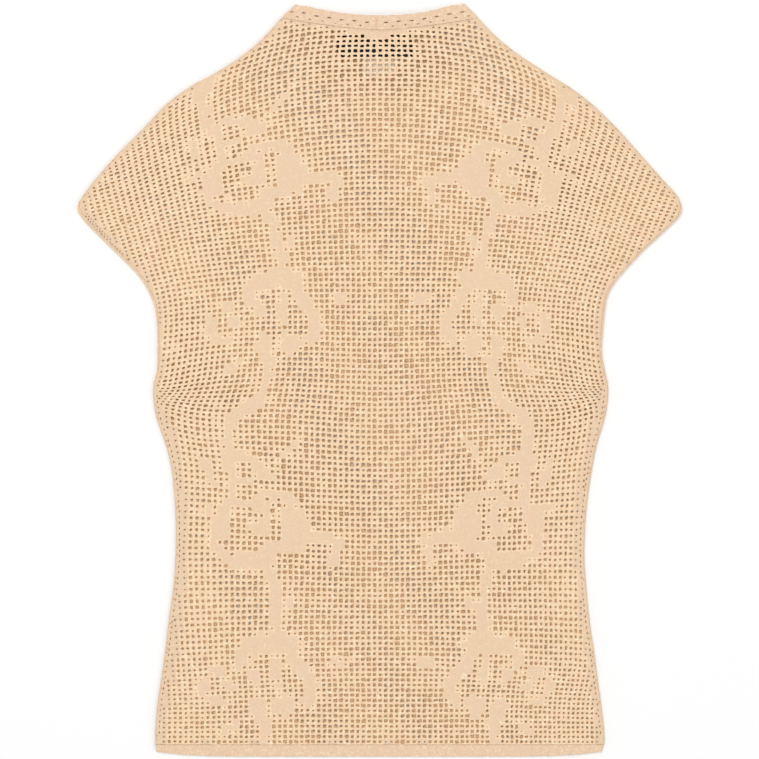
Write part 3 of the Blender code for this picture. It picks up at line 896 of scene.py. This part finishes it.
def knit_material(name, light, dark, blush, fleck, stitch, depth):
    """Cotton knit: uneven shade, a faint blush in patches, pale flecks and fine crossed stitches."""
    mat, tree, shader = new_material(name, {
        "Roughness": 0.9, "Specular IOR Level": 0.25, "Sheen Weight": 0.15, "Sheen Roughness": 0.5})
    place = add_node(tree, "TexCoord", {}).outputs["Object"]

    def noise(scale, detail):
        inputs = {"Scale": scale, "Detail": detail, "Vector": place}
        return add_node(tree, "TexNoise", inputs).outputs["Fac"]

    def blend(factor, a, b, low, high):
        share = add_node(tree, "MapRange", {"From Min": low, "From Max": high, "Value": factor})
        node = tree.nodes.new("ShaderNodeMix")
        node.data_type = "RGBA"
        set_inputs(tree, node, {"Factor": share.outputs["Result"], "A": a, "B": b})
        return node.outputs["Result"]

    def wave(turn):
        turned = add_node(tree, "Mapping", {"Rotation": (0.0, 0.0, math.radians(turn)), "Vector": place})
        return add_node(tree, "TexWave", {
            "Scale": stitch, "Distortion": 2.0, "Detail": 1.0, "Detail Scale": 2.0,
            "Vector": turned.outputs["Vector"]}).outputs["Fac"]

    def combine(operation, a, b):
        node = add_node(tree, "Math", {0: a, 1: b})
        node.operation = operation
        return node.outputs["Value"]

    strands = noise(760.0, 3.0)
    base = blend(strands, opaque(dark), opaque(light), 0.36, 0.60)
    warm = blend(noise(46.0, 2.5), base, opaque(blush), 0.44, 0.86)
    flecked = blend(noise(430.0, 1.0), warm, opaque(fleck), 0.54, 0.80)
    set_inputs(tree, shader, {"Base Color": flecked})
    stitches = combine("MULTIPLY", wave(38), wave(-38))
    add_bump(tree, shader, combine("ADD", stitches, strands), 0.55, depth)
    return mat


def label_material(name, colour):
    """Woven ribbon: a fine check of a lighter and a darker tone of its colour."""
    mat, tree, shader = new_material(name, {"Roughness": 0.75})
    weave = add_node(tree, "TexChecker", {
        "Scale": 2600.0, "Color1": opaque([min(c * 1.12, 1.0) for c in colour]),
        "Color2": opaque([c * 0.82 for c in colour]),
        "Vector": add_node(tree, "TexCoord", {}).outputs["Object"]})
    set_inputs(tree, shader, {"Base Color": weave.outputs["Color"]})
    add_bump(tree, shader, weave.outputs["Fac"], 0.4, 0.0001)
    return mat


NET_KNIT = knit_material("net_knit", (0.985, 0.745, 0.49), (0.87, 0.60, 0.38), (0.96, 0.67, 0.46),
                         (1.0, 0.88, 0.64), 330.0, 0.0003)
SOLID_KNIT = knit_material("solid_knit", (0.86, 0.64, 0.435), (0.80, 0.58, 0.38), (0.86, 0.60, 0.43),
                           (0.90, 0.70, 0.48), 420.0, 0.00018)
# The front's net is the same cloth as the back's. Its colours are painted darker and warmer as painted
# shade, for where it lies under the back layer and shows through the back's holes.
FRONT_KNIT_PAINTED_SHADE = knit_material("front_net_knit_painted_shade", (0.79, 0.54, 0.305), (0.71, 0.465, 0.255),
                           (0.79, 0.505, 0.30), (0.84, 0.59, 0.34), 330.0, 0.0002)
TRIM_KNIT = knit_material("trim_knit", (0.90, 0.665, 0.455), (0.79, 0.56, 0.375), (0.88, 0.60, 0.44),
                          (0.98, 0.78, 0.56), 420.0, 0.0003)
DARK_WEAVE = label_material("label_dark", (0.012, 0.011, 0.011))
PALE_WEAVE = label_material("label_pale", (0.93, 0.87, 0.77))


# ---- panels ----
def add_piece(obj, node):
    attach(obj, "root")
    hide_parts(node)
    return obj


def panel_shell(a, upper):
    """Points of a panel's wall in millimetres: those of its upper surface, then their twins below."""
    facing = 1.0 if upper else -1.0
    lift = swell_height(a.x, a.h) if upper else 0.0
    level = WALL / 2 + (LAYER if upper else 0.0) - facing * a.depth + lift
    half = WALL / 2 - a.crown
    # the outer face leans with the rolled edge, and the inner face is its twin
    nx, nz = np.sin(a.lean), np.cos(a.lean)
    half_in = WALL / 2 - np.where(a.lean == 0.0, a.crown, 0.0)
    outer = np.stack((a.x + nx * half, a.h, level + facing * nz * half), 1)
    inner = np.stack((a.x - nx * half_in, a.h, level - facing * nz * half_in), 1)
    if upper:
        return np.concatenate((outer, inner))
    outer[:, 2] = np.maximum(outer[:, 2], 0.0)
    return np.concatenate((inner, outer))


def panel_pieces(node, plan, upper, parts, materials):
    """The closed pieces of one panel. parts maps a piece's name to the test for the faces it takes."""
    a = plan.arrays()
    count = plan.count
    points = panel_shell(a, upper)
    quads, tris, _ = closed_faces(a.quads, a.tris, count)
    normals = vertex_normals(points, quads, tris)
    made = []
    for name, takes in parts.items():
        in_q, in_t = [takes(a.x[faces].mean(1), a.h[faces].mean(1)) for faces in (a.quads, a.tris)]
        q, t, walls = closed_faces(a.quads[in_q], a.tris[in_t], count)
        kq, kt = a.quad_kind[in_q], a.tri_kind[in_t]
        kinds = np.concatenate((kq, kq, np.full(walls, NET), kt, kt))
        used = np.unique(np.concatenate((q.ravel(), t.ravel())))
        renumber = np.zeros(2 * count, int)
        renumber[used] = np.arange(len(used))
        piece = mesh_object(name, points[used], renumber[q], renumber[t], kinds, normals[used], materials)
        made.append(add_piece(piece, node))
    return made


SPLIT_X = float(net_point(np.array(-0.5), np.array(0.0))[0])
YOKE_HEIGHT = float(net_point(np.array(0.0), np.array(YOKE_ROW - 0.5))[1])


def part_of_back(left, yoke):
    """The test for the faces of one quarter of the back."""
    def takes(x, h):
        return ((x < SPLIT_X) == left) & ((h > YOKE_HEIGHT) == yoke)
    return takes


def back_pieces():
    parts = {f"back_{band}_{side}": part_of_back(side == "left", band == "yoke")
             for band in ("body", "yoke") for side in ("left", "right")}
    plan = NetPlan(0.0, 0.0, SEED, True)
    return panel_pieces("back_panel", plan, True, parts, [NET_KNIT, SOLID_KNIT])


def front_pieces():
    parts = {"front_left": lambda x, h: x < 0, "front_right": lambda x, h: x >= 0}
    plan = NetPlan(FRONT_SHIFT, FRONT_SWAY, SEED + 1, False)
    # the front's knit carries painted shade: it is coloured darker than the back's cloth
    return panel_pieces("front_panel", plan, False, parts, [FRONT_KNIT_PAINTED_SHADE, FRONT_KNIT_PAINTED_SHADE])


# ---- ring-shaped bands ----
SEAM_ROUND = ((0.0, 0.6), (0.12, 0.82), (0.4, 0.96))      # (distance from the edge, share of the wall)
FOLD_ROUND = ((0.0, 0.1), (0.1, 0.5), (0.35, 0.82), (0.9, 0.98))
FOLD_TURNS = np.radians(np.linspace(0.0, 180.0, 9)[1:-1])


def band_profile(width, rows):
    """One turn round a band's wall: how far across it each point lies, and on which side of it.

    The second half is the first one's twin on the wall's inner face, in the other order.
    """
    inner, outer = np.array(SEAM_ROUND), np.array(FOLD_ROUND)
    middle = np.linspace(inner[-1, 0], width - outer[-1, 0], rows + 2)[1:-1]
    across = np.concatenate((inner[:, 0], middle, width - outer[::-1, 0])) / width
    side = np.concatenate((inner[:, 1], np.ones(rows), outer[::-1, 1]))
    return np.concatenate((across, across[::-1])), np.concatenate((side, -np.ones(len(side))))


def pierced(quads, ids, open_face):
    """A band's faces with the open ones left out of both faces of its wall, and their sides walled."""
    half = ids.shape[1] // 2
    twin = np.zeros(ids.size, int)
    twin[ids[:, :half]] = ids[:, :half - 1:-1]
    grid = quads.reshape(*ids.shape, 4)
    keep = np.ones(ids.shape, bool)
    keep[:, :half - 1] = ~open_face
    keep[:, half:-1] = ~open_face[:, ::-1]
    rim = free_edges(face_edges(grid[:, :half - 1][open_face]), ids.size)
    walls = np.stack((rim[:, 0], rim[:, 1], twin[rim[:, 1]], twin[rim[:, 0]]), 1)
    return np.concatenate((grid[keep], walls))


def ring_band(name, lines, folds, width, rows, relief, opening=None):
    """A closed band pressed flat: an upper run, a fold, a lower run and a fold.

    lines are the matching plan points of its two long edges, folds the plan directions in which its
    ends fold over, and relief(x, height, across, upper) how far its outer face stands off, in mm.
    opening(x, across, upper) says which faces are left open, if any.
    """
    inner_line, outer_line = lines
    count = len(inner_line)
    radius = FOLD_RADIUS - WALL / 2
    turns = len(FOLD_TURNS)
    station = np.concatenate((np.arange(count), np.full(turns, count - 1),
                              np.arange(count)[::-1], np.zeros(turns, int)))
    angle = np.concatenate((np.zeros(count), FOLD_TURNS, np.full(count, math.pi), FOLD_TURNS[::-1]))
    side_of_fold = np.where(station == 0, 0, 1)
    plan_turn = np.array(folds)[side_of_fold] * np.sin(angle)[:, None]
    across, side = band_profile(width, rows)
    spot = mix(inner_line[station][:, None], outer_line[station][:, None], across[None, :, None])
    x, h = spot[..., 0], spot[..., 1]
    up = np.cos(angle)[:, None] * np.ones_like(x)
    off = WALL / 2 * side[None] + np.where(side[None] > 0, relief(x, h, across[None], up > 0), 0.0)
    lift = np.where(np.isclose(up, 1.0), swell_height(x, h), 0.0)
    points = np.stack((x + plan_turn[:, None, 0] * (radius + off),
                       h + plan_turn[:, None, 1] * (radius + off),
                       FOLD_RADIUS + lift + up * (radius + off)), -1)
    points[..., 2] = np.maximum(points[..., 2], 0.0)
    ids = np.arange(points.shape[0] * points.shape[1]).reshape(points.shape[:2])
    ahead, beside = np.roll(ids, -1, 0), np.roll(ids, -1, 1)
    quads = np.stack((ids, beside, np.roll(ahead, -1, 1), ahead), -1).reshape(-1, 4)
    if opening is not None:
        half = len(across) // 2
        middle_x = (x + np.roll(x, -1, 0))[:, :half]
        middle_x = (middle_x[:, :-1] + middle_x[:, 1:]) / 4
        middle_across = (across[:half - 1] + across[1:half]) / 2
        flat_run = (angle == np.roll(angle, -1))[:, None]
        open_face = opening(middle_x, middle_across[None], up[:, :1] > 0) & flat_run
        quads = pierced(quads, ids, open_face)
    return solid_piece(name, points.reshape(-1, 3), quads, TRIM_KNIT)


def even(count):
    return np.linspace(-1.0, 1.0, count)


def waver(x, seed):
    """An uneven hand: a slow random-looking wave of about +-1 along a band."""
    return 0.6 * np.sin(x * 0.31 + seed) + 0.4 * np.sin(x * 0.83 + 2.1 * seed)


RIB_PITCH, RIB_DEPTH, RIB_POINTS = 2.3, 0.34, 5


def hem_band():
    """The hem: close knit with fine upright ribs, the corners a little above its middle."""
    reach = float(half_width(0.0, "left")) - FOLD_RADIUS
    u = even(int(2 * reach / RIB_PITCH) * RIB_POINTS)
    top_height = np.full(len(u), HEM_TOP)
    low_height = HEM_CORNER_HEIGHT * np.abs(u) ** 8 + 0.12 * waver(u * 170.0, 1.0)

    def line(height):
        return np.stack((u * (reach_at(u, height) - FOLD_RADIUS), height), 1)

    def relief(x, h, across, upper):
        rib = 0.5 + 0.5 * np.cos(2 * math.pi * x / RIB_PITCH + 0.9 * waver(x, 3.0) + 0.5 * across)
        fade = smoothstep(across / 0.12) * smoothstep((1.0 - across) / 0.12)
        return -RIB_DEPTH * rib * fade * (0.75 + 0.25 * waver(x, 7.0))

    lines = (line(top_height), line(low_height))
    return ring_band("hem_rib", lines, ((-1.0, 0.0), (1.0, 0.0)), HEM_TOP, 6, relief)


NECK_TRIM_WIDTH = 12.0
EYELET_PITCH = 10.1
EYELET_START = 7.6            # from the trim's join to the middle of its first eyelet
Eyelets = namedtuple("Eyelets", "across start half_length half_height")
EYELET_ROWS = (
    Eyelets(0.52, EYELET_START, 1.7, 0.42),
    Eyelets(0.22, 12.9, 0.95, 0.28),
)
EYELET_DENT = 0.45            # how far the knit sinks round an eyelet
SCALLOP = 0.22


def eyelet_reach(row, x, across, upper):
    """How far a place in the neck trim lies from the nearest eyelet's middle, 1 at the eyelet's rim."""
    away = np.abs(x - JOIN_X) + np.where(upper, 0.0, EYELET_PITCH / 2)
    nearest = (away - row.start + EYELET_PITCH / 2) % EYELET_PITCH - EYELET_PITCH / 2
    rise = (across - row.across) * NECK_TRIM_WIDTH + 0.35 * waver(x, 5.0)
    reach = np.hypot(nearest / row.half_length, rise / row.half_height)
    return np.where(away > row.start - EYELET_PITCH / 2, reach, 9.0)


def neck_trim():
    """The neck trim: close knit with two rows of small eyelets, joined at the centre back."""
    u = even(420)
    reach = reach_at(u, NECK_SEAM_HEIGHT) - FOLD_RADIUS
    seam = np.stack((u * reach, neck_seam(u * reach)), 1)
    crown = NECK_EDGE_CROWN * (u ** 2 - smoothstep((np.abs(u) - 0.86) / 0.14))
    tilt = NECK_EDGE_TILT * smoothstep((u - 0.5) / 0.4)
    sink = NECK_EDGE_DIP * (1.0 - u ** 2) - crown - tilt
    edge_x = u * (reach - NECK_BAND_LEAN)
    swing = np.cos(2 * math.pi * (np.abs(edge_x - JOIN_X) - EYELET_START) / EYELET_PITCH)
    scallop = SCALLOP * swing * (1 - u ** 8)
    edge = np.stack((edge_x, NECK_SEAM_HEIGHT + NECK_BAND_RISE - sink - scallop - SCALLOP), 1)
    slant = math.atan2(NECK_BAND_RISE, NECK_BAND_LEAN)
    folds = ((-math.sin(slant), math.cos(slant)), (math.sin(slant), math.cos(slant)))

    def relief(x, h, across, upper):
        off = -1.1 * np.exp(-(((x - JOIN_X) / 0.45) ** 2)) * smoothstep((0.9 - across) / 0.1)
        for row in EYELET_ROWS:
            off = off - EYELET_DENT * np.exp(-0.4 * eyelet_reach(row, x, across, upper) ** 2)
        ridges = 0.05 * np.cos(2 * math.pi * across * NECK_TRIM_WIDTH / 1.6)
        return off + ridges * smoothstep(across / 0.1) * smoothstep((1.0 - across) / 0.1)

    def opening(x, across, upper):
        return np.min([eyelet_reach(row, x, across, upper) for row in EYELET_ROWS], axis=0) < 1.0

    return ring_band("neck_trim", (seam, edge), folds, NECK_TRIM_WIDTH, 22, relief, opening)


def rolled_edge(side):
    """The rolled edge of one sleeve opening, from the underarm up to the tip of the sleeve."""
    sign = -1.0 if side == "left" else 1.0
    low, high = ROLL_FOOT + FOLD_RADIUS, ROLL_HEAD - FOLD_RADIUS
    height = np.linspace(low, high, 150)
    reach = half_width(height, side)
    inner = np.stack((sign * (reach - roll_width(height, side)), height), 1)
    outer = np.stack((sign * reach, height), 1)

    def along(start, end):
        run = np.array((sign * (half_width(end, side) - half_width(start, side)), end - start), float)
        return tuple(run / np.hypot(*run))

    def relief(x, h, across, upper):
        groove = 0.3 if side == "left" else 0.12
        nubs = 0.06 * np.sin(2 * math.pi * h / 1.9)
        return nubs - groove * np.exp(-(((across - 0.45) / 0.14) ** 2)) * (0.7 + 0.3 * waver(h, 2.0))

    folds = (along(low, ROLL_FOOT), along(high, ROLL_HEAD))
    return ring_band(f"sleeve_edge_{side}", (inner, outer), folds, ROLL_WIDTH[side], 6, relief)


# ---- labels ----
def woven_label(node, mat):
    """A bare woven label with softly rounded corners, lying on the lower layer."""
    low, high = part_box(node)
    centre = (low + high) / 2 / MM
    half_x, half_y = (high.x - low.x) / MM / 2, (high.y - low.y) / MM / 2
    u, v = np.meshgrid(even(int(half_x * 2) + 1), even(int(half_y * 2) + 1), indexing="ij")
    corner = 0.8 * (np.abs(u) ** 24 * np.abs(v) ** 8 + np.abs(v) ** 24 * np.abs(u) ** 24)
    x = centre.x + u * half_x - np.sign(u) * corner * 0.5
    h = centre.y + v * half_y - np.sign(v) * corner * 0.5 + LENGTH / 2
    edge = np.maximum(np.abs(u) ** 40, np.abs(v) ** 20)
    weave = 0.06 * (np.sin(u * 9.0) + np.sin(v * 7.0 + u * 5.0)) * (1 - edge)
    upper = np.stack((x, h, high.z / MM - 0.12 - 0.3 * edge + weave), -1)
    lower = np.stack((x, h, np.full(x.shape, low.z / MM)), -1)
    quads = np.stack(four_corners(np.arange(x.size).reshape(x.shape)), -1).reshape(-1, 4)
    quads, _, _ = closed_faces(quads, NO_TRIS, x.size)
    points = np.concatenate((upper.reshape(-1, 3), lower.reshape(-1, 3)))
    return solid_piece(node + "_cloth", points, quads, mat)


# ---- the garment ----
def flat_cut(pieces):
    """Sizes of each piece's rectangle in metres, and the share of it that its outline fills."""
    cuts = []
    for piece in pieces:
        points = np.array([v.co[:2] for v in piece.data.vertices])
        low, high = points.min(0), points.max(0)
        height = np.linspace(low[1], high[1], 200)[1:-1] / MM + LENGTH / 2
        side = "left" if low[0] + high[0] < 0 else "right"
        reach = np.minimum(half_width(np.minimum(height, NECK_SEAM_HEIGHT), side) * MM, high[0] - low[0])
        cuts.append((tuple((high - low).tolist()), float(reach.mean() / (high[0] - low[0]))))
    return cuts


back = back_pieces()
front = front_pieces()
hem = add_piece(hem_band(), "hem_band")
neck = add_piece(neck_trim(), "neck_band")
rolls = [add_piece(rolled_edge(side), f"sleeve_binding_{side}") for _, side in SIDES]
labels = [add_piece(woven_label("neck_label", DARK_WEAVE), "neck_label"),
          add_piece(woven_label("care_label", PALE_WEAVE), "care_label")]
sewn_on = ([hem], [], [neck, rolls[0]], [rolls[1]], labels, [])
for piece, (flat, share), extra in zip(back + front, flat_cut(back + front), sewn_on):
    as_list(extra)


# ---- floor, light, camera ----
FLOOR_REACH = 6.0
CAMERA_HEIGHT = 2.4
SENSOR_WIDTH = 36.0
VIEW_WIDTH = 0.6072           # what the picture shows of the floor, in metres


def stage_floor():
    mesh = bpy.data.meshes.new("floor")
    corners = [(x * FLOOR_REACH, y * FLOOR_REACH, 0) for x, y in ((-1, -1), (1, -1), (1, 1), (-1, 1))]
    mesh.from_pydata(corners, [], [(0, 1, 2, 3)])
    mesh.materials.append(new_material("floor_paper", {
        "Base Color": (0.97, 0.97, 0.97, 1.0), "Roughness": 1.0, "Specular IOR Level": 0.0})[0])
    new_object("floor", mesh, (0.0, 0.0, -0.0002))


def area_light(name, place, size, power):
    """A square lamp that shines at the middle of the garment."""
    data = bpy.data.lights.new(name, "AREA")
    data.shape = "SQUARE"
    data.size = size
    data.energy = power
    lamp = new_object(name, data, place)
    lamp.rotation_mode = "QUATERNION"
    lamp.rotation_quaternion = Vector(place).to_track_quat("Z", "Y")


def studio():
    """White room light, two soft lamps and a camera straight above the garment."""
    scene = bpy.context.scene
    world = bpy.data.worlds.new("studio")
    world.use_nodes = True
    background = world.node_tree.nodes["Background"]
    set_inputs(world.node_tree, background, {"Color": (1.0, 1.0, 1.0, 1.0), "Strength": 0.55})
    scene.world = world
    area_light("softbox", (-0.7, 0.65, 2.7), 1.6, 35.5)
    area_light("fill", (1.6, -0.9, 2.2), 1.8, 14.5)
    scene.view_settings.view_transform = "Standard"
    data = bpy.data.cameras.new("camera")
    data.sensor_width = SENSOR_WIDTH
    data.lens = SENSOR_WIDTH * CAMERA_HEIGHT / VIEW_WIDTH
    scene.camera = new_object("camera", data, (0.0, 0.0, CAMERA_HEIGHT))


stage_floor()
studio()
